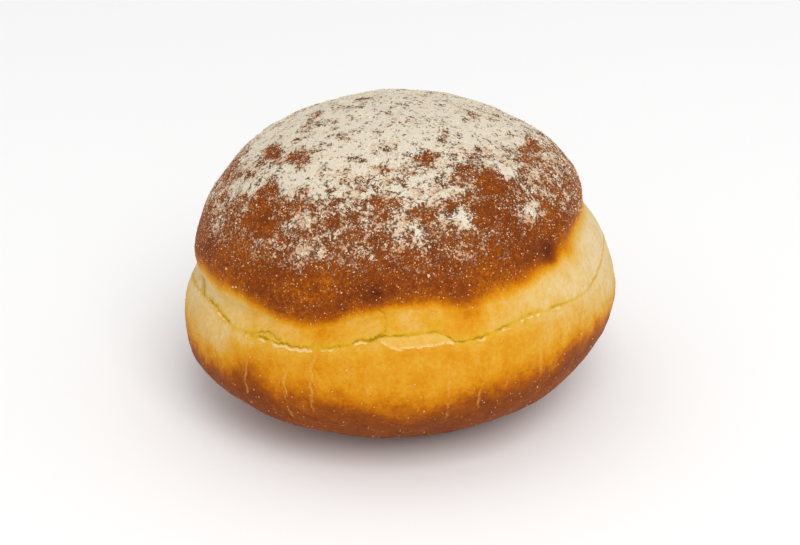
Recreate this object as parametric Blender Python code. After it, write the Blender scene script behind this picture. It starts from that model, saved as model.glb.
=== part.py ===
"""A filled round doughnut, whole and uncut: one solid of fried yeast dough, in metres, +Z up.

The ball of dough was fried on one side, turned over and fried on the other. That leaves a round lower
half, a pale band that neither side browned, a crease above it, and a domed cap that sits over the band
a little to one side. The outline is turned from four rounded quarters, and each height is then leaned
and shifted the way the ball settled. The origin is on the floor, under the middle of the solid's box.
"""

import math

import bmesh
import bpy
from mathutils import Vector

# Driving dimensions.
BELLY_RADIUS = 0.0436  # the widest line, just under the pale band
HEIGHT = 0.0599
FOOT_RADIUS = 0.0165  # the flat spot that it rests on

# Heights and radii that follow from them.
BELLY_HEIGHT = 0.31 * HEIGHT
CREASE_HEIGHT = 0.530 * HEIGHT
CREASE_RADIUS = 0.845 * BELLY_RADIUS
RIM_HEIGHT = 0.600 * HEIGHT  # where the cap is widest
RIM_RADIUS = 0.881 * BELLY_RADIUS

# How full each quarter of the outline is: 2 is an ellipse, and less is leaner.
LOWER_POWER = 1.78
BAND_POWER = 1.75
UNDERCUT_POWER = 2.00
DOME_POWER = 1.95

# How far each height leans and shifts, as shares of the belly radius. A positive lean lifts the +X or
# +Y side and lowers the other one. A shift moves the whole ring.
#           height         lean X  lean Y  shift X  shift Y
SETTLING = (
    (0.0, 0.000, 0.000, 0.020, 0.000),
    (BELLY_HEIGHT, 0.103, -0.025, 0.000, 0.000),
    (CREASE_HEIGHT, 0.140, -0.085, -0.046, 0.000),
    (RIM_HEIGHT, 0.135, -0.080, -0.064, 0.000),
    (HEIGHT, 0.000, 0.000, -0.052, 0.000),
)

# Lobes that the hand-rounded ball keeps: waves round the axis, share of the radius, degrees.
LOBES = ((2, 0.006, 40.0), (3, 0.005, 100.0), (5, 0.003, 10.0), (7, 0.0015, 200.0))

# The crease wanders up and down too: waves, share of the belly radius, degrees of the lowest point.
CREASE_WAVES = ((2, 0.010, 240.0), (2, 0.034, 270.0), (3, 0.010, 245.0), (5, 0.006, 30.0))

# It is nearly flush on the front, where cap and band run into each other: waves, share, degrees.
CREASE_FILL = ((0, 0.012, 0.0), (1, 0.022, 270.0), (1, 0.008, 0.0))

SEGMENTS = 40  # round the axis, before the Subdivision Surface doubles them
LOWER_STEPS = 8
BAND_STEPS = 4
UNDERCUT_STEPS = 2
DOME_STEPS = 9
FOOT_INNER_SHARE = 0.72  # a second flat ring keeps the foot flat when it is subdivided

CRUST_COLOUR = (0.40, 0.15, 0.035, 1.0)
CRUST_ROUGHNESS = 0.6


def clear_scene():
    for obj in list(bpy.data.objects):
        bpy.data.objects.remove(obj)


def signed_power(value, power):
    return math.copysign(abs(value) ** power, value)


def rounded_quarter(centre, half_width, half_height, power, start, steps):
    """Points on a quarter of a superellipse, from start degrees onwards, without its last point."""
    points = []
    for step in range(steps):
        angle = math.radians(start + 90.0 * step / steps)
        radius = centre[0] + half_width * signed_power(math.cos(angle), 2.0 / power)
        height = centre[1] + half_height * signed_power(math.sin(angle), 2.0 / power)
        points.append((radius, height))
    return points


def outline():
    """The half outline as (radius, height), from the foot to the top."""
    points = [(0.0, 0.0), (FOOT_RADIUS * FOOT_INNER_SHARE, 0.0)]
    points += rounded_quarter(
        (FOOT_RADIUS, BELLY_HEIGHT), BELLY_RADIUS - FOOT_RADIUS, BELLY_HEIGHT,
        LOWER_POWER, -90.0, LOWER_STEPS,
    )
    points += rounded_quarter(
        (CREASE_RADIUS, BELLY_HEIGHT), BELLY_RADIUS - CREASE_RADIUS, CREASE_HEIGHT - BELLY_HEIGHT,
        BAND_POWER, 0.0, BAND_STEPS,
    )
    points += rounded_quarter(
        (CREASE_RADIUS, RIM_HEIGHT), RIM_RADIUS - CREASE_RADIUS, RIM_HEIGHT - CREASE_HEIGHT,
        UNDERCUT_POWER, -90.0, UNDERCUT_STEPS,
    )
    points += rounded_quarter(
        (0.0, RIM_HEIGHT), RIM_RADIUS, HEIGHT - RIM_HEIGHT,
        DOME_POWER, 0.0, DOME_STEPS,
    )
    points.append((0.0, HEIGHT))
    return points


def turned(points, segments):
    """A closed mesh turned from the half outline about Z."""
    mesh = bmesh.new()
    verts = [mesh.verts.new((radius, 0.0, height)) for radius, height in points]
    edges = [mesh.edges.new(pair) for pair in zip(verts, verts[1:])]
    bmesh.ops.spin(
        mesh, geom=verts + edges, axis=(0, 0, 1), cent=(0, 0, 0),
        angle=2.0 * math.pi, steps=segments, use_duplicate=False,
    )
    bmesh.ops.remove_doubles(mesh, verts=mesh.verts, dist=1e-6)
    bmesh.ops.recalc_face_normals(mesh, faces=mesh.faces)
    return mesh


def between_rows(rows, height):
    """The row of numbers at a height, in a straight line between the two rows round it."""
    for low, high in zip(rows, rows[1:]):
        if height <= high[0]:
            share = (height - low[0]) / (high[0] - low[0])
            return [a + share * (b - a) for a, b in zip(low[1:], high[1:])]
    return list(rows[-1][1:])


def waves(table, angle):
    return sum(share * math.cos(count * (angle - math.radians(peak))) for count, share, peak in table)


def settled(point):
    """Where a point of the turned shape ends up in the real, uneven one."""
    angle = math.atan2(point.y, point.x)
    radius = math.hypot(point.x, point.y)
    lean_x, lean_y, shift_x, shift_y = between_rows(SETTLING, point.z)
    rise = lean_x * math.cos(angle) + lean_y * math.sin(angle)
    above_foot = min(1.0, point.z / BELLY_HEIGHT)
    near_crease = max(0.0, 1.0 - abs(point.z - CREASE_HEIGHT) / (CREASE_HEIGHT - BELLY_HEIGHT))
    rise -= near_crease * waves(CREASE_WAVES, angle)
    radius *= 1.0 + above_foot * waves(LOBES, angle)
    radius += near_crease**2 * waves(CREASE_FILL, angle) * BELLY_RADIUS
    return Vector((
        radius * math.cos(angle) + shift_x * BELLY_RADIUS,
        radius * math.sin(angle) + shift_y * BELLY_RADIUS,
        point.z + rise * BELLY_RADIUS,
    ))


def centred_on_floor(mesh):
    """Moves the mesh so that the middle of its box is over the origin and its foot is at zero."""
    xs = [v.co.x for v in mesh.verts]
    ys = [v.co.y for v in mesh.verts]
    lowest = min(v.co.z for v in mesh.verts)
    middle = Vector(((min(xs) + max(xs)) / 2.0, (min(ys) + max(ys)) / 2.0, lowest))
    bmesh.ops.translate(mesh, verts=mesh.verts, vec=-middle)


def crust_material():
    material = bpy.data.materials.new("crust")
    material.use_nodes = True
    shader = material.node_tree.nodes["Principled BSDF"]
    shader.inputs["Base Color"].default_value = CRUST_COLOUR
    shader.inputs["Roughness"].default_value = CRUST_ROUGHNESS
    return material


def doughnut():
    mesh = turned(outline(), SEGMENTS)
    for vert in mesh.verts:
        vert.co = settled(vert.co)
    centred_on_floor(mesh)

    data = bpy.data.meshes.new("doughnut")
    mesh.to_mesh(data)
    mesh.free()
    data.shade_smooth()
    data.materials.append(crust_material())
    obj = bpy.data.objects.new("doughnut", data)
    bpy.context.scene.collection.objects.link(obj)

    rounding = obj.modifiers.new("rounding", "SUBSURF")
    rounding.levels = 1
    rounding.render_levels = 1
    return obj


clear_scene()
doughnut()
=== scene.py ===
# %% [markdown]
# # A jelly filled doughnut under powdered sugar
#
# The real thing is a ball of yeast dough, fried on one side, turned over, fried on the other and
# dusted with sugar while it is warm. What the eye reads is a brown domed cap, a pale band that the fat
# never reached, a split that runs round that band, and a golden lower half that browns towards its foot.
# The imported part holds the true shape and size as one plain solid, so it comes in first as the frame.

import math

import bpy
import numpy as np
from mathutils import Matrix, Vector, kdtree, noise


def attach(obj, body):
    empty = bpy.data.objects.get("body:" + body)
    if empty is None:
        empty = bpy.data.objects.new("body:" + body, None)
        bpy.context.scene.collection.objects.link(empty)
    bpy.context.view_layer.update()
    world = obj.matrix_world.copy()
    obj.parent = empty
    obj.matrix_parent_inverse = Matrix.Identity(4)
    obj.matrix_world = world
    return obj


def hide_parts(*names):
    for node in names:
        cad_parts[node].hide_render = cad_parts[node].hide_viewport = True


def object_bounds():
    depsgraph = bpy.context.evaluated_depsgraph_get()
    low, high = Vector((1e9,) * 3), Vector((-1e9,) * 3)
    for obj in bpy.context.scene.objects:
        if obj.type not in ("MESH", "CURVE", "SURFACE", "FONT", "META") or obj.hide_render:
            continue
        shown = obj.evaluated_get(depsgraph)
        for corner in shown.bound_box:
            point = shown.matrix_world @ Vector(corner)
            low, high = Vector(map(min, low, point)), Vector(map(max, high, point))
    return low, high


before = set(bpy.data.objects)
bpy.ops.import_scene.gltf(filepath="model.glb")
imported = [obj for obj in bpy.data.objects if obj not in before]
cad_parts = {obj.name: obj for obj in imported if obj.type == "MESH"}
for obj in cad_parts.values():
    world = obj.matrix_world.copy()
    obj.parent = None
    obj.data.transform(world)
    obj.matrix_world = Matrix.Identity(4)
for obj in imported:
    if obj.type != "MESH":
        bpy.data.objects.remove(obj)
cad_low, cad_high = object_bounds()
MM = 0.001
print("doughnut box, mm:", [round((high - low) / MM, 1) for low, high in zip(cad_low, cad_high)])

# %% [markdown]
# Every operator in Blender acts on whatever is selected, and the loader leaves the part selected. Three
# small helpers keep that under control: one picks a single object, one opens it in edit mode with only
# chosen faces selected, and one adds a modifier and applies it straight away. Three more read a mesh's
# points, normals and face middles as rows of numbers, because a loop over so many points is slow.

# %% Helpers for selecting, for modifiers and for reading a mesh


def pick(obj):
    if bpy.context.mode != "OBJECT":
        bpy.ops.object.mode_set(mode="OBJECT")
    bpy.ops.object.select_all(action="DESELECT")
    obj.select_set(True)
    bpy.context.view_layer.objects.active = obj


def edit_faces(obj, chosen=None):
    """Opens the object in edit mode with the chosen faces selected, or all of them."""
    pick(obj)
    bpy.context.tool_settings.mesh_select_mode = (False, False, True)
    bpy.ops.object.mode_set(mode="EDIT")
    bpy.ops.mesh.select_all(action="SELECT" if chosen is None else "DESELECT")
    if chosen is not None:
        bpy.ops.object.mode_set(mode="OBJECT")
        obj.data.polygons.foreach_set("select", chosen)
        bpy.ops.object.mode_set(mode="EDIT")


def apply_modifier(obj, kind, **settings):
    pick(obj)
    modifier = obj.modifiers.new(kind.lower(), kind)
    for key, value in settings.items():
        setattr(modifier, key, value)
    bpy.ops.object.modifier_apply(modifier=modifier.name)


def rows_of(items, attribute):
    """One row of three numbers for each item of a mesh."""
    flat = np.empty(len(items) * 3, np.float32)
    items.foreach_get(attribute, flat)
    return flat.reshape(-1, 3).astype(float)


def places_of(mesh):
    return rows_of(mesh.vertices, "co")


def normals_of(mesh):
    return rows_of(mesh.vertex_normals, "vector")


def middles_of(mesh):
    return rows_of(mesh.polygons, "center")


print("vertices in the part:", len(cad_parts["doughnut"].data.vertices))

# %% [markdown]
# The part's own mesh is loose triangles, and they crowd together at its top and bottom, so fine relief
# on it would look combed. A merged and rounded copy serves as a guide to wrap a better mesh on. The
# guide is thrown away at the end.

# %% A smooth guide, copied from the part
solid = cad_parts["doughnut"]
guide = bpy.data.objects.new("guide", solid.data.copy())
bpy.context.scene.collection.objects.link(guide)
edit_faces(guide)
bpy.ops.mesh.remove_doubles(threshold=1e-6)
bpy.ops.object.mode_set(mode="OBJECT")
bpy.ops.object.shade_smooth()
apply_modifier(guide, "SUBSURF", levels=1, render_levels=1)
print("guide faces:", len(guide.data.polygons))

# %% [markdown]
# ## The crust
#
# The crust is one unbroken skin. A sphere made of squares is the best start for it: a UV sphere pinches
# at its poles, and an icosphere has no rows to subdivide cleanly. A cube cut into a grid and pushed out
# to a sphere has neither fault. Shrinkwrap then drops it onto the guide along its own normals.

# %% A ball of even squares, wrapped onto the guide
CRUST_CUTS = 93  # cuts across each face of the cube
WRAP_CLEARANCE = 1.4  # the ball's size before it is wrapped, as a share of the part's

middle = (cad_low + cad_high) / 2.0
half_size = (cad_high - cad_low) / 2.0
bpy.ops.mesh.primitive_cube_add(size=2.0 * half_size.x, location=middle)
crust = bpy.context.object
crust.name = "crust"
edit_faces(crust)
bpy.ops.mesh.subdivide(number_cuts=CRUST_CUTS)
bpy.ops.transform.tosphere(value=1.0)
bpy.ops.object.mode_set(mode="OBJECT")
ball_radius = float(np.linalg.norm(places_of(crust.data), axis=1).max())
edit_faces(crust)
bpy.ops.transform.resize(value=[WRAP_CLEARANCE * side / ball_radius for side in half_size])
bpy.ops.object.mode_set(mode="OBJECT")
bpy.ops.object.transform_apply(location=True, rotation=True, scale=True)
apply_modifier(
    crust, "SHRINKWRAP", target=guide, wrap_method="PROJECT",
    use_negative_direction=True, use_positive_direction=False,
)
print("crust faces:", len(crust.data.polygons))

# %% [markdown]
# The lines that a baker would point at run round the doughnut: the browned edge of the cap, the split in
# the pale band, and the line where the lower half starts to brown. Each is easiest to say as a height
# at an angle, with 0 degrees at the right, -90 at the front and 90 at the back. Only the places where a
# line peaks, dips or turns are listed, as one would mark them on the ball. An eased curve joins
# them, and noise adds the small wander later.

# %% Lines round the doughnut, as (degrees, height in millimetres)
CAP_EDGE = (
    (-180, 31), (-140, 33.5), (-120, 31), (-90, 36.5), (-70, 36), (-20, 41), (10, 40.5), (85, 32.5),
    (150, 30.5),
)
SPLIT = (
    (-180, 25.5), (-150, 28), (-138, 27), (-118, 27.5), (-90, 31.5), (-81, 32), (-74, 30), (-54, 32),
    (-35, 31), (-5, 33), (60, 28), (122, 24), (155, 23.5),
)
FOOT_EDGE = ((-180, 21), (-118, 21), (-90, 19.5), (-38, 25), (100, 18))
SUGAR_EDGE = ((-160, 42), (-125, 45), (-90, 46), (-50, 47.5), (0, 43.5), (140, 39.5))

# The same kind of line says how golden the dough is, from 0 to 1, before it browns.
BAND_TONE = ((-165, 0.05), (-110, 0.23), (-75, 0.25), (-12, 0.01), (88, 0.20))
LOWER_TONE = ((-155, 0.10), (-110, 0.34), (-75, 0.33), (-10, 0.08), (90, 0.30))


def ease(value, low, high):
    """0 below low, 1 above high, and smooth between."""
    share = np.clip((value - low) / (high - low), 0.0, 1.0)
    return share * share * (3.0 - 2.0 * share)


def line_at(line, degrees):
    """The height or tone of a line round the doughnut at these angles, eased between its points."""
    angles = np.array([angle for angle, _ in line] + [line[0][0] + 360.0])
    values = np.array([value for _, value in line] + [line[0][1]])
    turned = (np.asarray(degrees) - angles[0]) % 360.0 + angles[0]
    last = np.clip(np.searchsorted(angles, turned, side="right") - 1, 0, len(line) - 1)
    share = ease(turned, angles[last], angles[last + 1])
    return values[last] + share * (values[last + 1] - values[last])


print("the split is", round(float(line_at(SPLIT, -90)), 1), "mm up at the front")

# %% [markdown]
# Cracks are short lists of points too. A path is walked in small steps, and a ray sent in towards the
# axis at each step finds the place on the guide. The rays keep the path on the skin, whatever its shape.

# %% Cracks and stretch marks laid on the skin
PATH_STEP = 0.12  # millimetres
BENDS = ((2.2, 0.55, 0.5), (0.7, 0.30, 7.5))  # length and height as shares of the raggedness, and seed
SPLIT_RAGGED = 0.55  # millimetres
BRANCH_RAGGED = 0.5
MARK_RAGGED = 0.8
SPLIT_BRANCHES = (
    ((-98, 30.5), (-94, 32), (-94, 35), (-96, 36)),
    ((-82, 32), (-80, 34)),
    ((-133, 27), (-127, 28.5), (-122, 28)),
    ((-57, 32), (-55, 30)),
    ((-156, 27.5), (-166, 29)),
    ((30, 31), (33, 34)),
    ((84, 26.5), (85, 29)),
    ((128, 24), (126, 26.5)),
)
STRETCH_MARKS = (   # degrees, top and bottom in millimetres
    (-148, 24, 16), (-131, 24, 15), (-119, 25, 12), (-112, 26.5, 15), (-98, 26, 20), (-78, 26, 14),
    (-70, 27, 15), (-52, 28, 20), (-20, 28, 19), (14, 28, 18), (47, 25, 15), (79, 23, 14),
    (112, 21, 13), (146, 21, 13), (171, 22, 13),
)


def on_guide(degrees, height):
    """The point of the guide at this angle and height in millimetres."""
    angle = math.radians(degrees)
    out = Vector((math.cos(angle), math.sin(angle), 0.0))
    start = out * 2.0 * half_size.x + Vector((0.0, 0.0, height * MM))
    hit, place, _, _ = guide.ray_cast(start, -out)
    return np.array(place) if hit else np.array(start * 0.5)


def jitter(seed, along, size):
    """A ragged offset in millimetres, from two sizes of noise along a path."""
    return size * sum(
        tall * noise.noise(Vector((along / (long * size), seed, layer))) for long, tall, layer in BENDS
    )


def walk(points, seed, ragged):
    """Close-set places along a path through (degrees, height) points."""
    radius = half_size.x / MM
    places = []
    along = 0.0
    for (angle, height), (next_angle, next_height) in zip(points, points[1:]):
        turn, climb = next_angle - angle, next_height - height
        length = math.hypot(math.radians(turn) * radius, climb)
        steps = max(1, round(length / PATH_STEP))
        for step in range(steps):
            share = step / steps
            across = math.degrees(jitter(seed + 40, along, ragged) / radius)
            upward = jitter(seed, along, ragged)
            places.append(on_guide(angle + share * turn + across, height + share * climb + upward))
            along += length / steps
    return np.array(places)


split_angles = np.arange(-180.0, 180.0, 0.5)
split_points = [(a, float(line_at(SPLIT, a))) for a in split_angles] + [(180.0, SPLIT[0][1])]
split_path = walk(split_points, 3.0, SPLIT_RAGGED)
branch_paths = [walk(points, 11.0 + i, BRANCH_RAGGED) for i, points in enumerate(SPLIT_BRANCHES)]
mark_paths = [
    walk([(angle, top), (angle, bottom)], 31.0 + i, MARK_RAGGED)
    for i, (angle, top, bottom) in enumerate(STRETCH_MARKS)
]
print("the split is", round(len(split_path) * PATH_STEP), "mm long")

# %% [markdown]
# A crack is never equally open along its length. A short list says which stretches gape and how far,
# and the rest of the split is a faint line. Distances from every vertex to the nearest crack come from
# a k-d tree, which answers that question quickly for a hundred thousand vertices.

# %% How open the split is, and how far each vertex is from it
SPLIT_STRETCHES = (   # degrees from, degrees to, how open
    (-153, -139, 0.85), (-133, -125, 0.8), (-124, -112, 0.95), (-112, -104, 0.45), (-103, -93, 1.0),
    (-93, -84, 0.6), (-84, -79, 0.9), (-79, -72, 0.5), (-72, -66, 0.75), (-66, -50, 0.7),
    (-48, -42, 0.6), (20, 44, 0.8), (60, 96, 0.7), (104, 140, 0.8), (150, 172, 0.6),
)
FAINT_SPLIT = 0.12  # how open the split is elsewhere
STRETCH_FADE = 1.5  # degrees over which a stretch opens and closes
BRANCH_OPEN = (0.85, 0.45)  # at the root of a branch and at its tip


def bell(distance, width):
    return np.exp(-((distance / width) ** 2))


def nearest(paths):
    """A function that gives the distance in millimetres to the nearest path point, and its number."""
    places = np.concatenate(paths)
    tree = kdtree.KDTree(len(places))
    for number, place in enumerate(places):
        tree.insert(place, number)
    tree.balance()

    def look_up(points):
        found = [tree.find(point)[1:] for point in points]
        numbers = np.array([number for number, _ in found])
        return np.array([distance for _, distance in found]) / MM, numbers

    return look_up


def split_openness(places):
    degrees = np.degrees(np.arctan2(places[:, 1], places[:, 0]))
    openness = np.full(len(places), FAINT_SPLIT)
    for start, end, amount in SPLIT_STRETCHES:
        middle_angle, half_angle = (start + end) / 2.0, (end - start) / 2.0
        inside = np.clip((half_angle - np.abs(degrees - middle_angle)) / STRETCH_FADE, 0.0, 1.0)
        openness = np.maximum(openness, amount * inside)
    return openness


split_near = nearest([split_path, *branch_paths])
split_open = np.concatenate([
    split_openness(split_path),
    *[np.linspace(*BRANCH_OPEN, len(path)) for path in branch_paths],
])
mark_near = nearest(mark_paths)
print("crack points:", len(split_open))

# %% [markdown]
# A groove a third of a millimetre wide needs squares smaller than that, but only beside the cracks. So
# the faces near a crack are selected by their distance and subdivided, twice beside the split itself,
# and Shrinkwrap puts the new points back on the guide.

# %% Finer squares along the cracks
FINE_REACH = ((2.1, 1.0), (0.85, 0.0))  # each round's reach from the cracks and from the marks, mm

for split_reach, mark_reach in FINE_REACH:
    centres = middles_of(crust.data)
    close = (split_near(centres)[0] < split_reach) | (mark_near(centres)[0] < mark_reach)
    edit_faces(crust, close)
    bpy.ops.mesh.subdivide(number_cuts=1)
    bpy.ops.object.mode_set(mode="OBJECT")
apply_modifier(crust, "SHRINKWRAP", target=guide, wrap_method="NEAREST_SURFACEPOINT")
crust.data.calc_loop_triangles()
print("crust triangles:", len(crust.data.loop_triangles))

# %% [markdown]
# Dough is never as even as a turned solid. The crease between cap and band is relaxed with the smooth
# operator, because risen dough has no sharp inner corner. Three cloud textures then push the skin in and
# out: one as wide as a thumb, one as wide as a lentil and one as wide as a grain of rice.

# %% Relax the crease and raise soft lumps
CREASE_BELOW_CAP = 2.5  # millimetres from the cap's edge down to the crease
CREASE_HALF_WIDTH = 4.5  # millimetres above and below the crease that are relaxed
LUMPS = ((0.016, 0.0011), (0.0055, 0.00030), (0.0022, 0.00010))  # size and height, metres

centres = middles_of(crust.data)
centre_angles = np.degrees(np.arctan2(centres[:, 1], centres[:, 0]))
crease_height = line_at(CAP_EDGE, centre_angles) - CREASE_BELOW_CAP
beside_crease = np.abs(centres[:, 2] / MM - crease_height) < CREASE_HALF_WIDTH
edit_faces(crust, beside_crease)
bpy.ops.mesh.vertices_smooth(factor=0.5, repeat=30)
bpy.ops.object.mode_set(mode="OBJECT")
for lump_size, lump_height in LUMPS:
    clouds = bpy.data.textures.new("lumps", "CLOUDS")
    clouds.noise_scale = lump_size
    clouds.noise_depth = 2
    apply_modifier(
        crust, "DISPLACE", texture=clouds, texture_coords="LOCAL",
        strength=lump_height, mid_level=0.5,
    )
bpy.ops.object.shade_smooth()
print("faces relaxed at the crease:", int(beside_crease.sum()))

# %% [markdown]
# Now the relief that has a place: the split with its torn lip, the thin flap of skin under the front of
# it, the stretch marks, and the fold in the cap at the right. Sculpt brushes need a window, so each
# vertex is moved along its own normal by a height that is worked out from its distances.

# %% Carve the split, the torn flap, the stretch marks and the fold
FLAP = ((-95, 30.5), (-91, 29), (-75, 30))  # degrees, height of its lower rim
FLAP_FRAY = 0.50  # millimetres that the rim wanders
FOLD = (-41.5, 41.4)  # degrees, millimetres
WHOLE_LIP = (-127.0, -124.0, -113.0, -109.0)  # degrees where the lip starts and stops being in one piece
LIP_OUT = 0.45  # millimetres from the split to the middle of the lip
LIP_WIDTH = 0.30  # this and the other widths and heights are in millimetres too
LIP_HEIGHT = 0.20
MARK_WIDTH = 0.26
MARK_HEIGHT = 0.07
FLAP_HEIGHT = 0.09
FOLD_WIDTH = 2.6
FOLD_DEPTH = 0.50

skin = places_of(crust.data)
outward = normals_of(crust.data)
degrees = np.degrees(np.arctan2(skin[:, 1], skin[:, 0]))
height = skin[:, 2] / MM
above_split = height - line_at(SPLIT, degrees)
split_distance, split_number = split_near(skin)
openness = split_open[split_number]
on_main_split = split_number < len(split_path)
mark_distance, _ = mark_near(skin)


def ragged_noise(places, size, seed):
    """Noise between about -1 and 1 at every place, with features of this size in millimetres."""
    shift = Vector((seed, 2.0 * seed, -seed))
    return np.array([noise.fractal(Vector(p) / (size * MM) + shift, 0.8, 2.0, 3) for p in places])


def move_vertices(mesh, places):
    mesh.vertices.foreach_set("co", places.astype(np.float32).ravel())
    mesh.update()


torn = ragged_noise(skin, 1.6, seed=5.0)
below = on_main_split & (above_split < 0.0)
unbroken = np.interp(degrees, WHOLE_LIP, (0.0, 1.0, 1.0, 0.0))
lip_strength = np.clip(0.55 + 0.45 * unbroken + torn * (1.0 - 0.6 * unbroken), 0.0, 1.3)
lip = np.where(below, bell(split_distance - LIP_OUT, LIP_WIDTH) * openness * lip_strength, 0.0)
groove = bell(split_distance, 0.20 + 0.10 * openness) * (0.08 + 0.34 * openness)
valley = 0.14 * openness * np.exp(-split_distance / 1.2)
mark = bell(mark_distance, MARK_WIDTH)

flap_angles = [angle for angle, _ in FLAP]
flap_edge = np.interp(degrees, flap_angles, [rim for _, rim in FLAP])
flap_edge = flap_edge + FLAP_FRAY * ragged_noise(skin, 1.1, seed=9.0)
in_flap_span = (degrees > flap_angles[0]) & (degrees < flap_angles[-1])
flap_gap = np.where(in_flap_span & (above_split < 0.3), height - flap_edge, -3.0)
flap = np.clip(flap_gap / 0.25, 0.0, 1.0) * (above_split < 0.0)
lip *= np.where(in_flap_span, 0.25, 1.0)

fold_place = on_guide(*FOLD)
fold_gap = np.linalg.norm(skin - fold_place, axis=1) / MM
fold = bell(fold_gap, FOLD_WIDTH)

relief = LIP_HEIGHT * lip - groove - valley + MARK_HEIGHT * mark + FLAP_HEIGHT * flap - FOLD_DEPTH * fold
skin += outward * relief[:, None] * MM
skin[:, 2] = np.maximum(skin[:, 2], 0.0)
move_vertices(crust.data, skin)
print("relief, mm:", round(float(relief.min()), 2), "to", round(float(relief.max()), 2))

# %% [markdown]
# The material has to know where it is: how far above the cap's edge, how far below the split, how deep
# in sugar. Those are numbers on the vertices, called attributes, which a shader can read. Distances
# suit this best, because they blend in a straight line between vertices and so stay sharp.

# %% Write the places down as attributes
SMUDGES = (   # degrees, height and size in millimetres, how brown: where hot fat splashed or pooled
    (-146, 32.5, 2.5, 0.12), (-132, 21, 4, 0.18), (-118, 38, 5, -0.05), (-110, 31, 3.5, 0.12),
    (-97, 39, 2, 0.11), (-88, 34, 2.5, -0.08), (-88, 41, 8, 0.05), (-72, 35.5, 3.5, 0.18),
    (-41, 39.5, 2.5, 0.34), (-33, 38.5, 2.5, 0.16), (8, 37.5, 3, 0.22), (25, 24, 3.5, 0.16),
    (54, 34.5, 3.5, 0.26), (88, 21, 4, 0.18), (97, 30, 3.5, 0.22), (133, 27, 3, 0.20),
    (168, 28.5, 3, 0.20),
)


def write_attribute(mesh, name, values):
    mesh.attributes.new(name, "FLOAT", "POINT").data.foreach_set("value", values.astype(np.float32))


smudge = np.zeros(len(skin))
for smudge_angle, smudge_height, smudge_size, amount in SMUDGES:
    gap = np.linalg.norm(skin - on_guide(smudge_angle, smudge_height), axis=1) / MM
    smudge += amount * bell(gap, smudge_size)

FARTHEST = 6.0  # millimetres, past which a distance to a crack doesn't matter

above_cap = height - line_at(CAP_EDGE, degrees)
write_attribute(crust.data, "above_cap_edge", above_cap)
write_attribute(crust.data, "below_foot_edge", line_at(FOOT_EDGE, degrees) - height)
write_attribute(crust.data, "below_split", -above_split)
write_attribute(crust.data, "split_gap", np.minimum(split_distance / (0.35 + 0.65 * openness), FARTHEST))
write_attribute(crust.data, "mark_gap", np.minimum(mark_distance, FARTHEST))
write_attribute(crust.data, "lip", np.clip(lip, 0.0, 1.0))
write_attribute(crust.data, "flap_gap", flap_gap)
write_attribute(crust.data, "band_tone", line_at(BAND_TONE, degrees))
write_attribute(crust.data, "lower_tone", line_at(LOWER_TONE, degrees))
write_attribute(crust.data, "fold", fold)
write_attribute(crust.data, "smudge", smudge)
print("smudges:", len(SMUDGES))

# %% [markdown]
# ## Where the sugar lies
#
# Powdered sugar falls from above, so it is thick on the crown and thins out down the sides. Fingers and
# a paper bag then rub it away in patches, mostly in strokes that run round the dome. Cover is a number
# from 0, bare, to 1, white: a fall-off with height, noise stretched from left to right, and the patches
# that are plainly bare or plainly thick. Thick sugar also stands up a little from the skin.

# %% How thickly each vertex is covered
BARE_PATCHES = (   # degrees, height, length round the dome, width down it (millimetres), strength
    (-162, 53.5, 3.5, 2, 0.8), (-144, 55.5, 3, 3, 0.7), (-143, 49, 2, 3, 0.6), (-138, 47, 3, 3, 1.1),
    (-132, 58, 3.5, 1, 0.6), (-115, 56.5, 3, 1, 0.5), (-99, 56, 2, 1, 0.5), (-90, 45.5, 3.5, 2, 0.4),
    (-84, 56, 2, 1.5, 0.4), (-81, 51, 2.5, 1.5, 0.4), (-75, 57, 3, 2, 0.75), (-62, 55, 2, 1, 0.4),
    (-60, 50, 3.5, 3, 0.6),
    (-50, 53, 4, 2, 0.65), (-27, 54, 3, 2, 0.35), (-24, 50.5, 4.5, 1.5, 0.25), (-14, 54, 6, 1.5, 0.6),
    (0, 58, 3.5, 1.5, 0.4), (30, 50, 5, 2.5, 0.7), (60, 54, 6, 2.5, 0.7), (80, 57, 3, 2, 0.5),
    (100, 50, 5, 2.5, 0.8), (135, 54.5, 6.5, 2, 0.7), (150, 48, 4, 3.5, 0.7), (174, 57.5, 3, 1.5, 0.5),
)
THICK_PATCHES = (   # the same
    (-153, 49.5, 3.5, 2.5, 0.35), (-135, 52.5, 2.5, 3, 0.40), (-127, 56, 3, 1.5, 0.3),
    (-122, 49, 5, 2, 0.12), (-117, 53, 3, 1.5, 0.30), (-97, 50, 8, 3, 0.18), (-82, 49, 4, 2, 0.28),
    (-71, 50, 3, 3, 0.22), (-66, 53.5, 4, 1.5, 0.30), (-46, 49, 3, 1.5, 0.32), (-36, 53.5, 4, 3, 0.35),
    (-18, 50, 3.5, 1.5, 0.30), (45, 47, 7, 2.5, 0.35), (85, 47, 5, 2, 0.30), (115, 46, 7, 2.5, 0.35),
    (165, 46, 5, 2.5, 0.30),
)


def patch_cover(places, patches):
    """The strongest of the patches at each place, as soft ovals that follow the dome."""
    cover = np.zeros(len(places))
    for patch_angle, patch_height, length, width, strength in patches:
        centre = on_guide(patch_angle, patch_height)
        angle = math.atan2(centre[1], centre[0])
        round_dome = np.array((-math.sin(angle), math.cos(angle), 0.0))
        offset = (places - centre) / MM
        along = offset @ round_dome
        across_squared = np.maximum((offset**2).sum(1) - along**2, 0.0)
        cover = np.maximum(cover, strength * np.exp(-((along / length) ** 2) - across_squared / width**2))
    return cover


THIN_SUGAR = 0.11  # what lies even at the cap's edge
SUGAR_RISES = ((0.46, -6.5, 1.5), (0.42, 5.5, 12.0))  # more sugar, and over which heights by its line, mm
WARP = 1.5  # millimetres that the patches' outlines wander
SMEAR_HEIGHT = 0.16  # millimetres that thick sugar stands above the skin

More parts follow.
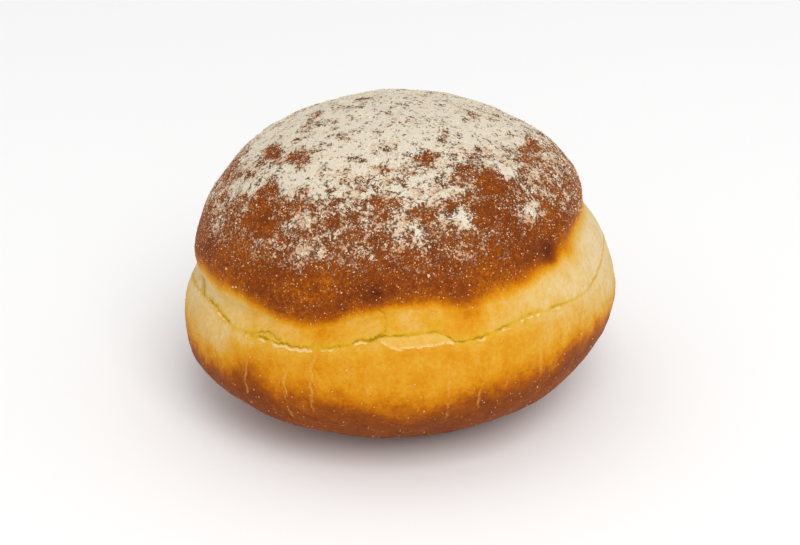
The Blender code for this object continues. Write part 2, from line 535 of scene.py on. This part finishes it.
wander = np.column_stack([ragged_noise(skin, 3.2, seed) for seed in (61.0, 67.0, 71.0)]) * WARP * MM
above_sugar_edge = height - line_at(SUGAR_EDGE, degrees)
strokes = ragged_noise(skin * np.array((1.0, 1.9, 1.0)), 10.0, seed=21.0)
blotches = ragged_noise(skin, 3.6, seed=33.0)
flakes = ragged_noise(skin, 1.5, seed=47.0)
on_dome = ease(above_sugar_edge, -9.0, 1.0)
within_cap = ease(above_cap, -3.0, 3.0)
sugar_depth = sum((more * ease(above_sugar_edge, low, high) for more, low, high in SUGAR_RISES), THIN_SUGAR)
sugar_depth += patch_cover(skin + wander, THICK_PATCHES) - patch_cover(skin + wander, BARE_PATCHES)
sugar_depth += on_dome * (0.18 * strokes + 0.14 * blotches)
sugar_cover = sugar_depth + on_dome * (0.08 * blotches + 0.16 * flakes)
sugar_depth = np.clip(sugar_depth, 0.0, 1.0) * within_cap
sugar_cover = np.clip(sugar_cover, 0.0, 1.05) * within_cap
write_attribute(crust.data, "sugar_depth", sugar_depth)
write_attribute(crust.data, "sugar_cover", sugar_cover)

smears = 1.0 + 0.9 * ragged_noise(skin * np.array((0.7, 1.4, 1.0)), 3.0, seed=83.0)
skin += outward * (SMEAR_HEIGHT * MM * ease(sugar_cover, 0.45, 0.95) * smears)[:, None]
move_vertices(crust.data, skin)
print("mean cover of the dome:", round(float(sugar_cover[above_sugar_edge > 0].mean()), 2))

# %% [markdown]
# ## Shader sums in plain Python
#
# A material is a graph of nodes, and formulas are hard to read as a graph. The class below wraps one
# output of a node, so that an ordinary expression such as `1 - mask * 0.5` adds the Math nodes for it.
# `Finish` holds one material and has a single method that adds any other kind of node.

# %% Wire and Finish


class Wire:
    """One output socket of a material's node, which Python's operators can reckon with."""

    def __init__(self, finish, socket):
        self.finish = finish
        self.socket = socket

    def math(self, operation, *values):
        return self.finish.add("ShaderNodeMath", {"operation": operation}, dict(enumerate(values)))

    def __add__(self, other):
        return self.math("ADD", self, other)

    def __sub__(self, other):
        return self.math("SUBTRACT", self, other)

    def __rsub__(self, other):
        return self.math("SUBTRACT", other, self)

    def __mul__(self, other):
        return self.math("MULTIPLY", self, other)

    __radd__ = __add__
    __rmul__ = __mul__

    def larger(self, other):
        return self.math("MAXIMUM", self, other)

    def swing(self, amount):
        """Noise that ran from 0 to 1, turned into a swing about 0."""
        return (self - 0.5) * amount


def paint(red, green, blue):
    """A colour given as it looks on a screen, 0 to 255, turned into the linear light a shader mixes."""
    shares = [part / 255.0 for part in (red, green, blue)]
    linear = [s / 12.92 if s <= 0.04045 else ((s + 0.055) / 1.055) ** 2.4 for s in shares]
    return (*linear, 1.0)


class Finish:
    """A material, with one method that adds a node and a few that name the common ones."""

    def __init__(self, name):
        self.material = bpy.data.materials.new(name)
        self.material.use_nodes = True
        self.tree = self.material.node_tree
        self.shader = self.tree.nodes["Principled BSDF"]
        self.place = self.add("ShaderNodeTexCoord", output="Object")

    def add(self, kind, settings=None, inputs=None, output=0):
        node = self.tree.nodes.new(kind)
        for key, value in (settings or {}).items():
            if key == "stops":
                self.set_stops(node.color_ramp, value)
            else:
                setattr(node, key, value)
        for key, value in (inputs or {}).items():
            self.feed(node.inputs[key], value)
        return Wire(self, node.outputs[output])

    def set_stops(self, ramp, stops):
        for position, _ in stops[2:]:
            ramp.elements.new(position)
        for element, (position, colour) in zip(ramp.elements, stops):
            element.position = position
            element.color = colour

    def feed(self, socket, value):
        if isinstance(value, Wire):
            self.tree.links.new(value.socket, socket)
        else:
            socket.default_value = value

    def read(self, attribute):
        return self.add("ShaderNodeAttribute", {"attribute_name": attribute}, output="Fac")

    def stretched(self, scale):
        return self.add("ShaderNodeMapping", None, {"Vector": self.place, "Scale": scale})

    def grain(self, size, detail=2.0, roughness=0.5, place=None):
        """Noise from 0 to 1 whose features are about this many millimetres wide."""
        return self.add("ShaderNodeTexNoise", None, {
            "Vector": place or self.place, "Scale": 1.0 / (size * MM),
            "Detail": detail, "Roughness": roughness,
        })

    def cells(self, size, output="Distance"):
        """Rounded cells of about this many millimetres: their distance or their random colour."""
        inputs = {"Vector": self.place, "Scale": 1.0 / (size * MM)}
        return self.add("ShaderNodeTexVoronoi", None, inputs, output=output)

    def ease(self, value, low, high):
        """0 below low, 1 above high, and smooth between."""
        return self.add("ShaderNodeMapRange", {"interpolation_type": "SMOOTHSTEP"}, {
            "Value": value, "From Min": low, "From Max": high,
        })

    def mix(self, share, first, second):
        """A colour between the first and the second."""
        return self.add("ShaderNodeMix", {"data_type": "RGBA"}, {0: share, 6: first, 7: second}, output=2)

    def bump(self, height, distance, before=None):
        inputs = {"Height": height, "Distance": distance}
        if before:
            inputs["Normal"] = before
        return self.add("ShaderNodeBump", None, inputs)

    def set(self, **values):
        for name, value in values.items():
            self.feed(self.shader.inputs[name.replace("_", " ")], value)


print("shader helpers ready")

# %% [markdown]
# ## The fried crust
#
# Frying is one process all over, only longer in some places, so one scale of browning drives the
# colour: raw cream, straw, gold, amber, chestnut, brown. Cap and lower half each say how brown they
# are, the larger number wins, smudges add to it, and a colour ramp turns it into a colour. The dent of
# the fold in the cap is also painted a little browner, which is painted shade. Noise shifts the
# number and not the colour, so every mottle is a believable shade of fried dough.

# %% Browning
RIM_BROWN = 0.42  # how brown the cap is at its edge
TOP_BROWN = 0.26  # how much browner it is farther up
FOOT_BROWN = 0.67

fried = Finish("fried_crust")
blotch = fried.grain(10.0, 3.0)
mottle = fried.grain(2.8, 4.0, 0.6)
speck = fried.grain(0.8, 3.0, 0.7)
streak = fried.grain(2.6, 3.0, 0.6, fried.stretched((1.0, 1.0, 0.38)))
fine = fried.grain(0.36, 2.0, 0.7)

above_cap_edge = fried.read("above_cap_edge") + blotch.swing(2.4) + mottle.swing(1.1)
below_foot_edge = fried.read("below_foot_edge") + blotch.swing(3.4) + streak.swing(0.5)
below_foot_edge = below_foot_edge + mottle.swing(1.4)
below_split = fried.read("below_split") + mottle.swing(1.5)

cap_brown = fried.ease(above_cap_edge, -3.3, 1.4) * RIM_BROWN
cap_brown = cap_brown + fried.ease(above_cap_edge, -0.6, 4.4) * TOP_BROWN
lower_tone = fried.read("lower_tone")
foot_brown = lower_tone + fried.ease(below_foot_edge, -3.0, 8.0) * (FOOT_BROWN - lower_tone)
lower_gold = fried.ease(below_split, -0.4, 3.6)
band_brown = fried.read("band_tone")
lower_brown = band_brown + lower_gold * (foot_brown - band_brown)
lower_brown = lower_brown + blotch.swing(0.16) + mottle.swing(0.20) + streak.swing(0.13)
browning = cap_brown.larger(lower_brown) + fried.read("smudge")
on_cap = fried.ease(above_cap_edge, 0.0, 4.0)
uneven = blotch.swing(0.34) + mottle.swing(0.22) + speck.swing(0.34) + fine.swing(0.42)
browning = browning + speck.swing(0.22) + fine.swing(0.10) + on_cap * uneven
# Painted shade: the dent of the fold is painted a little browner, standing for the shade in the crease.
browning = browning + fried.read("fold") * 0.14

dough = fried.add("ShaderNodeValToRGB", {"stops": (
    (0.00, paint(220, 198, 152)),
    (0.13, paint(216, 178, 104)),
    (0.26, paint(212, 156, 44)),
    (0.37, paint(206, 134, 14)),
    (0.47, paint(184, 106, 4)),
    (0.57, paint(150, 75, 8)),
    (0.68, paint(126, 60, 14)),
    (0.84, paint(100, 44, 12)),
    (1.00, paint(70, 26, 9)),
)}, {"Fac": browning}, output="Color")
print("browning nodes:", len(fried.tree.nodes))

# %% [markdown]
# The split shows yellow crumb at its bottom, painted a darker olive there as painted shade inside the
# split, and torn, dried, whitish skin along its lower lip. The stretch marks are paler hairlines where
# the skin was pulled after it had set. The flap is pale, most of all at its frayed rim. The foot, which
# rubs on trays, is scuffed a little paler in small spots.
# They go over the browned dough as coats of colour, with a yellow glow beside the split among them.

# %% Split, lip, flap and stretch marks
split_gap = fried.read("split_gap") + speck.swing(0.35)
# Painted shade: the crumb at the bottom of the split is given a dark olive, darker than the crumb beside
# it.
crumb_and_shade_in_split = 1.0 - fried.ease(split_gap, 0.04, 0.26)
glow_by_split = (1.0 - fried.ease(split_gap, 0.1, 1.5)) * (1.0 - fried.ease(above_cap_edge, -4.0, -1.0))
mark_gap = fried.read("mark_gap") + speck.swing(0.4)
pale_mark = (1.0 - fried.ease(mark_gap, 0.10, 0.38)) * fried.ease(mottle, 0.34, 0.56)
lip_share = fried.ease(fried.read("lip") + speck.swing(0.8), 0.22, 0.60)
flap_gap = fried.read("flap_gap") + speck.swing(0.5)
on_flap = fried.ease(flap_gap, -0.05, 0.15) * fried.ease(fried.read("below_split"), -0.1, 0.3)
flap_rim = on_flap * (1.0 - fried.ease(flap_gap, 0.25, 0.70)) * fried.ease(speck, 0.36, 0.56)

scuff = fried.ease(fried.grain(1.2, 4.0, 0.75), 0.56, 0.66) * fried.ease(below_foot_edge, 2.0, 8.0)
flap_skin = on_flap * fried.ease(mottle, 0.25, 0.55)
COATS = (   # where, how strong and what colour, from the lowest coat to the highest
    (scuff, 0.40, paint(186, 116, 52)),
    (glow_by_split, 0.75, paint(206, 162, 20)),
    (pale_mark, 0.50, paint(220, 160, 84)),
    (flap_skin, 0.60, paint(224, 184, 100)),
    (lip_share.larger(flap_rim), 0.68, paint(234, 202, 144)),
    # painted shade: the dark olive of the crumb deep in the split
    (crumb_and_shade_in_split, 0.80, paint(150, 114, 2)),
)

crust_colour = dough
for where, strength, coat_colour in COATS:
    crust_colour = fried.mix(where * strength, crust_colour, coat_colour)
print("coats over the dough:", len(COATS))

# %% [markdown]
# ## The sugar on the crust
#
# The film of sugar is far thinner than the mesh could hold, so it belongs to the crust's material. The
# cover number is broken up by fine noise and then cut off: where cover is high only pores stay brown,
# where it is low only flecks are white. Where the sugar is deep, the brown in its pores is darkened as
# painted shade. Thick sugar is cream, and thin sugar lets the brown through.

# %% Sugar film
cover = fried.read("sugar_cover")
depth = fried.read("sugar_depth")
powder = fried.grain(0.40, 2.0, 0.7)
clump = fried.grain(1.7, 6.0, 0.82)
gaps = fried.cells(0.62)
uneven_fall = powder.swing(1.2) + clump.swing(3.2) + (0.42 - gaps) * 0.6
heap = cover + fried.ease(cover, 0.0, 0.25) * uneven_fall
film = fried.ease(heap, 0.38, 0.75)
fleck_seed = fried.add("ShaderNodeSeparateColor", None, {0: fried.cells(0.5, "Color")}, output=0)
fleck_chance = cover * 0.6 + fried.ease(above_cap_edge, 0.0, 4.0) * 0.12 - 0.04
fleck_shape = 1.0 - fried.ease(fried.cells(0.5), 0.20, 0.36)
fleck = fried.ease(fleck_chance - fleck_seed, 0.0, 0.02) * fleck_shape
sugar_share = film.larger(fleck * 0.8)
thickness = fried.ease(depth * 0.75 + heap * 0.25 + mottle.swing(1.1), 0.35, 1.00)
sugar_colour = fried.add("ShaderNodeValToRGB", {"stops": (
    (0.00, paint(222, 168, 128)),
    (0.40, paint(222, 184, 150)),
    (0.75, paint(222, 203, 176)),
    (1.00, paint(225, 214, 193)),
)}, {"Fac": thickness}, output="Color")
# Painted shade: where the sugar lies deep, the brown showing between it is darkened towards a dark
# olive-brown, standing for the shade in the hollows of the pile.
pit_shade = fried.ease(depth, 0.45, 0.85) * 0.55
under_sugar = fried.mix(pit_shade, crust_colour, paint(92, 58, 24))
surface_colour = fried.mix(sugar_share * (0.66 + thickness * 0.32), under_sugar, sugar_colour)
print("nodes with the sugar film:", len(fried.tree.nodes))

# %% [markdown]
# Height detail that is too small for the mesh goes into bump: pores and fine wrinkles in the fried skin,
# and the granular pile of the sugar. Fried skin keeps a faint sheen of fat, while sugar is quite dull.

# %% Bump, gloss and the finished crust material
SKIN_BUMP = 0.25 * MM
SUGAR_BUMP = 0.18 * MM

pores = fried.ease(fried.cells(0.9), 0.0, 0.5)
skin_height = speck * 0.6 + mottle * 0.8 + pores * 0.25 + streak * 0.25
skin_bump = fried.bump(skin_height, SKIN_BUMP)
sugar_bump = fried.bump(film * 0.4 + film * powder * 0.9 + fleck * 0.15, SUGAR_BUMP, skin_bump)
fried.set(
    Base_Color=surface_colour,
    Roughness=0.55 + sugar_share * 0.30 + mottle.swing(0.16),
    Normal=sugar_bump,
    Subsurface_Weight=0.10,
    Subsurface_Radius=(1.0, 0.45, 0.16),
    Subsurface_Scale=0.0012,
    Specular_IOR_Level=0.05,
)
crust.data.materials.append(fried.material)
print("crust material nodes:", len(fried.tree.nodes))

# %% [markdown]
# ## Loose sugar
#
# Close up, the film carries crumbs and single grains that catch the light and break the outline. A
# crumb is an icosphere of twenty faces and a grain is a cube, both knocked out of shape, and thousands
# of copies are joined into one mesh. So few faces are enough, because most are a quarter of a
# millimetre across or less. One generator with a fixed seed draws every place, size and turn in order.

# %% One crumb, and a way to scatter it
CRUMB_SINK = 0.25  # how far a crumb is let into the surface, as a share of its size
rng = np.random.default_rng(20)


def knocked(blank, amount, seed):
    """The corners and faces of a primitive whose corners are moved at random; the primitive is removed."""
    edit_faces(blank)
    bpy.ops.transform.vertex_random(offset=amount, uniform=0.8, normal=0.0, seed=seed)
    bpy.ops.object.mode_set(mode="OBJECT")
    shape = places_of(blank.data)
    faces = np.array([polygon.vertices for polygon in blank.data.polygons])
    bpy.data.objects.remove(blank)
    return shape, faces


bpy.ops.mesh.primitive_ico_sphere_add(subdivisions=1, radius=1.0, location=(0.0, 0.0, 0.0))
crumb, crumb_faces = knocked(bpy.context.object, 0.42, 4)
bpy.ops.mesh.primitive_cube_add(size=1.4, location=(0.0, 0.0, 0.0))
block, block_faces = knocked(bpy.context.object, 0.35, 7)


def turned_frames(outward_rows):
    """For each outward direction, three axes turned round it by a random angle."""
    helper = rng.normal(size=outward_rows.shape)
    first = np.cross(outward_rows, helper)
    first /= np.linalg.norm(first, axis=1)[:, None]
    return np.stack([first, np.cross(outward_rows, first), outward_rows], axis=1)


def scatter(name, shape, faces, spots, outward_rows, sizes, flatness, tones):
    """One mesh of many crumbs, each at a spot, turned at random and set a little into the skin."""
    axes = turned_frames(outward_rows)
    stretch = rng.uniform(0.75, 1.25, (len(spots), 1, 3)) * np.array((1.0, 1.0, flatness))
    local = shape[None] * stretch * sizes[:, None, None]
    local[:, :, 2] += (flatness * (0.5 - CRUMB_SINK) * sizes)[:, None]
    points = spots[:, None] + np.einsum("nij,njk->nik", local, axes)
    every_face = faces[None] + (np.arange(len(spots)) * len(shape))[:, None, None]
    mesh = bpy.data.meshes.new(name)
    every_face = every_face.reshape(-1, faces.shape[1])
    mesh.from_pydata(points.reshape(-1, 3).tolist(), [], every_face.tolist())
    write_attribute(mesh, "tone", np.repeat(tones, len(shape)))
    obj = bpy.data.objects.new(name, mesh)
    bpy.context.scene.collection.objects.link(obj)
    return obj


print("crumb:", len(crumb_faces), "faces, grain:", len(block_faces), "faces")

# %% [markdown]
# Crumbs gather where cover is thick. Single grains lie all over the cap, more of them where there is
# some sugar, and a few have dropped onto the band and the foot. The places are drawn at random from the
# crust's faces, so that a large face gets more than a small one.

# %% Scatter crumbs and grains
FACING_DOWN = -0.80  # no grain lies on a face that looks down more steeply than this
STRAY_GRAINS = 0.10

crust.data.calc_loop_triangles()
corners = np.empty(len(crust.data.loop_triangles) * 3, np.int32)
crust.data.loop_triangles.foreach_get("vertices", corners)
corners = corners.reshape(-1, 3)
edge_one = skin[corners[:, 1]] - skin[corners[:, 0]]
edge_two = skin[corners[:, 2]] - skin[corners[:, 0]]
face_normals = np.cross(edge_one, edge_two)
face_areas = np.linalg.norm(face_normals, axis=1) / 2.0
face_normals /= np.maximum(2.0 * face_areas, 1e-12)[:, None]
face_cover = sugar_cover[corners].mean(1)
face_flakes = flakes[corners].mean(1)
face_above_cap = above_cap[corners].mean(1)
face_facing_up = face_normals[:, 2]


def draw_spots(weights, count):
    """Random places on the crust, more of them where the weight is high, with normals and tones."""
    chances = face_areas * np.maximum(weights, 0.0)
    picked = rng.choice(len(corners), count, p=chances / chances.sum())
    u, v = rng.uniform(size=(2, count, 1))
    flip = u + v > 1.0
    u, v = np.where(flip, 1.0 - u, u), np.where(flip, 1.0 - v, v)
    spots = skin[corners[picked, 0]] + u * edge_one[picked] + v * edge_two[picked]
    tones = np.clip(ease(face_cover[picked], 0.2, 0.9) + rng.uniform(-0.15, 0.15, count), 0.0, 1.0)
    return spots, face_normals[picked], tones


def sprinkle(name, shape, faces, weights, count, size, spread, flatness):
    """Draws the places and sizes of one kind of loose sugar, and joins it into one mesh."""
    spots, directions, tones = draw_spots(weights, count)
    sizes = rng.lognormal(math.log(size), spread, count) * MM
    return scatter(name, shape, faces, spots, directions, sizes, flatness, tones)


crumb_weights = ease(face_cover, 0.25, 0.75) * ease(face_flakes, -0.30, 0.50)
crumbs = sprinkle(
    "sugar_crumbs", crumb, crumb_faces, crumb_weights, count=7000, size=0.115, spread=0.38, flatness=0.55,
)
grain_weights = ease(face_above_cap, -2.0, 3.0) * (0.24 + ease(face_cover, 0.0, 0.4))
grain_weights = grain_weights + STRAY_GRAINS * (face_facing_up > FACING_DOWN)
grains = sprinkle(
    "sugar_grains", block, block_faces, grain_weights, count=13000, size=0.078, spread=0.42, flatness=0.8,
)
for piece in (crumbs, grains):
    print(piece.name, "faces:", len(piece.data.polygons))

# %% [markdown]
# Sugar is bright and dull. Where it lies thinly the brown skin warms it, and grains differ in tone. So
# each carries one number, from the cover under it and a little chance, which mixes between a warm cream
# and a pale one. Noise in the gloss and the bump keeps single crumbs uneven.

# %% Sugar material
CRUMB_BUMP = 0.03 * MM

sugar = Finish("powdered_sugar")
sugar_tint = sugar.mix(sugar.read("tone"), paint(228, 178, 128), paint(230, 219, 196))
sugar.set(
    Base_Color=sugar_tint,
    Roughness=0.70 + sugar.grain(0.2, 1.0) * 0.2,
    Normal=sugar.bump(sugar.grain(0.08, 2.0, 0.6), CRUMB_BUMP),
    Specular_IOR_Level=0.2,
)
for piece in (crumbs, grains):
    piece.data.materials.append(sugar.material)
print("sugar material nodes:", len(sugar.tree.nodes))

# %% [markdown]
# The crust stands for the part's one solid, and everything rides on its one body. The guide has done
# its work and goes.

# %% Hand the pieces to the frame
bpy.data.objects.remove(guide)
for piece, slot in ((crust, "crust"), (crumbs, "sugar"), (grains, "sugar")):
    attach(piece, "root")
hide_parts("doughnut")

# %% [markdown]
# ## Floor, light and camera
#
# The doughnut stands on a plain white floor in soft studio light. A white world fills from all sides,
# one large lamp above and in front gives the dome its shape, and a weaker one low in front lights the
# golden half.

# %% Floor
FLOOR_SIZE = 6.0  # metres

bpy.ops.mesh.primitive_plane_add(size=FLOOR_SIZE, location=(0.0, 0.0, 0.0))
floor = bpy.context.object
floor.name = "floor"
floor_finish = Finish("floor_white")
floor_finish.set(Base_Color=(0.96, 0.96, 0.96, 1.0), Roughness=0.9, Specular_IOR_Level=0.1)
floor.data.materials.append(floor_finish.material)
print("floor:", FLOOR_SIZE, "m wide")

# %% Lights
WORLD_STRENGTH = 0.72
LAMPS = (   # name, place, aim, width, watts
    ("key", (0.25, -0.75, 1.00), (0.0, 0.0, 0.03), 0.8, 7.6),
    ("front_fill", (0.15, -1.1, 0.25), (0.0, 0.0, 0.025), 0.8, 1.5),
)


def aim(obj, place, target):
    """Puts the object at the place, turned to look at the target, and into the scene."""
    obj.location = place
    obj.rotation_euler = (Vector(target) - Vector(place)).to_track_quat("-Z", "Y").to_euler()
    bpy.context.scene.collection.objects.link(obj)


world = bpy.data.worlds.new("studio")
bpy.context.scene.world = world
world.use_nodes = True
background = world.node_tree.nodes["Background"]
background.inputs["Color"].default_value = (1.0, 1.0, 1.0, 1.0)
background.inputs["Strength"].default_value = WORLD_STRENGTH
for lamp_name, lamp_place, lamp_target, lamp_width, watts in LAMPS:
    lamp = bpy.data.lights.new(lamp_name, "AREA")
    lamp.size = lamp_width
    lamp.energy = watts
    aim(bpy.data.objects.new(lamp_name, lamp), lamp_place, lamp_target)
print("lamps:", len(LAMPS))

# %% [markdown]
# A long lens from well above the floor keeps the round shape free of strong perspective.

# %% Camera
CAMERA_LENS = 86.8  # millimetres, on a sensor 36 mm wide
CAMERA_DISTANCE = 0.387
CAMERA_ELEVATION = 26.0  # degrees
CAMERA_TARGET = Vector((0.0, 0.0, 0.0301))
CAMERA_DROP = 0.0062  # how far under the target the lens is aimed, which lifts the doughnut

tilt = math.radians(CAMERA_ELEVATION)
camera_data = bpy.data.cameras.new("camera")
camera_data.sensor_width = 36.0
camera_data.lens = CAMERA_LENS
camera_data.clip_start = 0.01
camera = bpy.data.objects.new("camera", camera_data)
camera_place = CAMERA_TARGET + CAMERA_DISTANCE * Vector((0.0, -math.cos(tilt), math.sin(tilt)))
aim(camera, camera_place, CAMERA_TARGET - Vector((0.0, 0.0, CAMERA_DROP)))
bpy.context.scene.camera = camera
bpy.context.scene.view_settings.view_transform = "Standard"
print("camera at", [round(v, 3) for v in camera_place])
